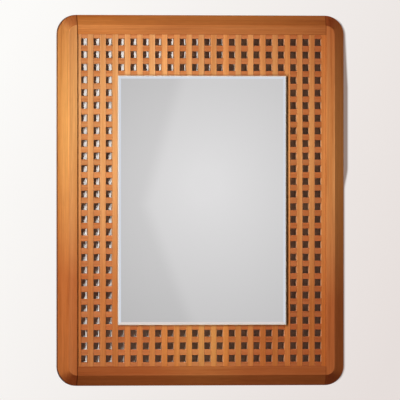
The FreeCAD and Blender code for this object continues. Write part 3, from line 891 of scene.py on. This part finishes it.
def glowing_reflection_panel():
    """Glowing card that only the glass shows: a painted reflection of pale grey with a soft bend down its
    left part.
    """
    material, tree = new_material("panel_grey_card")
    place = add_node(tree, "ShaderNodeTexCoord", output=None)["Object"]
    axes = add_node(tree, "ShaderNodeSeparateXYZ", inputs={0: place}, output=None)
    bend = add_node(tree, "ShaderNodeMath", {"operation": "ADD"}, {0: axes[Z], 1: -BEND_Z})
    rise = add_node(tree, "ShaderNodeMath", {"operation": "ABSOLUTE"}, {0: bend})
    edge = axes[X]
    for distance, slope in ((rise, -BEND_SLOPE), (bend, BEND_LEAN)):
        terms = {0: distance, 1: slope, 2: edge}
        edge = add_node(tree, "ShaderNodeMath", {"operation": "MULTIPLY_ADD"}, terms)
    tones = {"From Min": BEND_START, "From Max": BEND_END, "To Min": DARK_TONE, "To Max": PALE_TONE}
    tone = add_node(tree, "ShaderNodeMapRange", EASED, {"Value": edge, **tones})
    away = add_node(tree, "ShaderNodeVectorMath", {"operation": "DISTANCE"}, {0: place, 1: BRIGHT_SPOT}, 1)
    dimming = {"From Min": SPOT_START, "From Max": SPOT_END, "To Min": 1.0, "To Max": SPOT_END_SHARE}
    dim = add_node(tree, "ShaderNodeMapRange", inputs={"Value": away, **dimming})
    tone = add_node(tree, "ShaderNodeMath", {"operation": "MULTIPLY"}, {0: tone, 1: dim})

    beyond = add_node(tree, "ShaderNodeVectorMath", {"operation": "SUBTRACT"}, {0: place, 1: CARD_MIDDLE})
    beyond = add_node(tree, "ShaderNodeVectorMath", {"operation": "ABSOLUTE"}, {0: beyond})
    beyond = add_node(tree, "ShaderNodeVectorMath", {"operation": "SUBTRACT"}, {0: beyond, 1: CARD_HALF})
    beyond = add_node(tree, "ShaderNodeSeparateXYZ", inputs={0: beyond}, output=None)
    beyond = add_node(tree, "ShaderNodeMath", {"operation": "MAXIMUM"}, {0: beyond[X], 1: beyond[Z]})
    blue_share = add_node(tree, "ShaderNodeMapRange", EASED, {"Value": beyond, "From Max": CARD_SOFT})
    cards = {FIRST: tone, SECOND: linear(BLUE_CARD)}
    tone = add_node(tree, "ShaderNodeMix", MIX, {SHARE: blue_share, **cards}, MIXED)
    shader = add_node(tree, "ShaderNodeEmission", inputs={"Color": tone, "Strength": 1.0})
    add_node(tree, "ShaderNodeOutputMaterial", inputs={"Surface": shader})
    return material


def studio_world(settings):
    """A dim even room that the camera and every reflection see as pale."""
    world = bpy.data.worlds.new("studio_room")
    world.use_nodes = True
    tree = world.node_tree
    tree.nodes.clear()
    path = add_node(tree, "ShaderNodeLightPath", output=None)
    seen = path["Is Camera Ray"]
    for ray in ("Is Glossy Ray", "Is Transmission Ray"):
        seen = add_node(tree, "ShaderNodeMath", {"operation": "MAXIMUM"}, {0: seen, 1: path[ray]})
    strength = add_node(tree, "ShaderNodeMapRange", inputs={"Value": seen, "To Min": AMBIENT, "To Max": 1.0})
    light = {"Color": tuple(settings.backdrop_deep), "Strength": strength}
    room = add_node(tree, "ShaderNodeBackground", inputs=light)
    add_node(tree, "ShaderNodeOutputWorld", inputs={"Surface": room})
    return world


def point_at(thing, target):
    """Turns a lamp or camera towards a point."""
    aim = Vector(target) - thing.location
    thing.rotation_euler = aim.to_track_quat("-Z", "Y").to_euler()


class MIRROR_OT_stage(bpy.types.Operator):
    """Sets up the wall, the floor, the lamps and the camera"""

    bl_idname = "mirror.stage"
    bl_label = "Stage"

    def execute(self, context):
        settings = context.scene.stage_settings
        floor_z = cad_low.z - settings.floor_drop
        level = (0.0, 0.0, 0.0)
        upright = (math.pi / 2, 0.0, 0.0)

        wall_middle = (0.0, cad_high.y + WALL_GAP, floor_z + WALL_REACH / 2)
        stage_sheet("wall", (2 * WALL_REACH, WALL_REACH), wall_middle, upright, painted_wall(settings))
        floor_size = (2 * FLOOR_REACH, 2 * FLOOR_REACH)
        stage_sheet("floor", floor_size, (0.0, 0.0, floor_z), level, painted_floor(settings))
        panel_size = [high - low for low, high in zip(PANEL_LOW, PANEL_HIGH)]
        panel_x, panel_z = [(high + low) / 2 for low, high in zip(PANEL_LOW, PANEL_HIGH)]
        panel = stage_sheet("panel", panel_size, (panel_x, PANEL_Y, panel_z), upright, glowing_reflection_panel())
        panel.visible_camera = False
        panel.visible_diffuse = False
        panel.visible_shadow = False

        context.scene.world = studio_world(settings)

        # The glass doesn't show the key lamps, as the real one doesn't.
        for place, aim, share in (
            (HIGH_KEY_PLACE, HIGH_KEY_AIM, 1.0),
            (LOW_KEY_PLACE, LOW_KEY_AIM, LOW_KEY_SHARE),
        ):
            bpy.ops.object.light_add(type="AREA", location=place)
            key = bpy.context.object
            key.name = "key_lamp"
            key.data.shape = "RECTANGLE"
            key.data.size = KEY_WIDTH
            key.data.size_y = KEY_HEIGHT
            key.data.energy = settings.key_power * share
            key.visible_glossy = False
            point_at(key, aim)

        bpy.ops.object.light_add(type="POINT", radius=BACK_RADIUS, location=BACK_PLACE)
        back = bpy.context.object
        back.name = "back_lamp"
        back.data.energy = settings.back_power

        # The camera is far off, so that the mirror's uprights stay parallel, and a long lens fills the frame.
        pixel = 2 * half_height / (MIRROR_BOTTOM - MIRROR_TOP)
        below_middle = ((MIRROR_TOP + MIRROR_BOTTOM) / 2 - PICTURE_HEIGHT / 2) * pixel
        right_of_middle = (PICTURE_WIDTH / 2 - MIRROR_MIDDLE) * pixel
        target = Vector((right_of_middle, 0.0, mirror_middle.z + below_middle))
        away = Vector((-math.sin(settings.camera_turn), -math.cos(settings.camera_turn), 0.0))
        bpy.ops.object.camera_add(location=target + away * settings.camera_distance)
        camera = bpy.context.object
        camera.name = "camera"
        camera.data.sensor_width = SENSOR_WIDTH
        camera.data.lens = SENSOR_WIDTH * settings.camera_distance / (pixel * PICTURE_WIDTH)
        camera.data.clip_end = SIGHT_SHARE * settings.camera_distance
        point_at(camera, target)
        context.scene.camera = camera
        context.scene.view_settings.view_transform = "Standard"
        return {"FINISHED"}


class MIRROR_PT_panel(bpy.types.Panel):
    """One button for every step"""

    bl_idname = "MIRROR_PT_panel"
    bl_label = "Teak mirror"
    bl_space_type = "VIEW_3D"
    bl_region_type = "UI"
    bl_category = "Mirror"

    def draw(self, context):
        for step in STEPS:
            self.layout.operator(step.bl_idname)


STEPS = (MIRROR_OT_frame, MIRROR_OT_lattice, MIRROR_OT_glass, MIRROR_OT_fixings, MIRROR_OT_stage)
SETTINGS = {
    "teak_finish": TeakFinish,
    "glass_finish": GlassFinish,
    "fixing_finish": FixingFinish,
    "stage_settings": StageSettings,
}
CLASSES = (*SETTINGS.values(), *STEPS, MIRROR_PT_panel)


def register():
    for item in CLASSES:
        bpy.utils.register_class(item)
    for name, group in SETTINGS.items():
        setattr(bpy.types.Scene, name, PointerProperty(type=group))


def unregister():
    for name in SETTINGS:
        delattr(bpy.types.Scene, name)
    for item in reversed(CLASSES):
        bpy.utils.unregister_class(item)


def main():
    """Runs every step in order."""
    register()
    bpy.ops.mirror.frame()
    bpy.ops.mirror.lattice()
    bpy.ops.mirror.glass()
    bpy.ops.mirror.fixings()
    bpy.ops.mirror.stage()


if __name__ == "__main__":
    main()
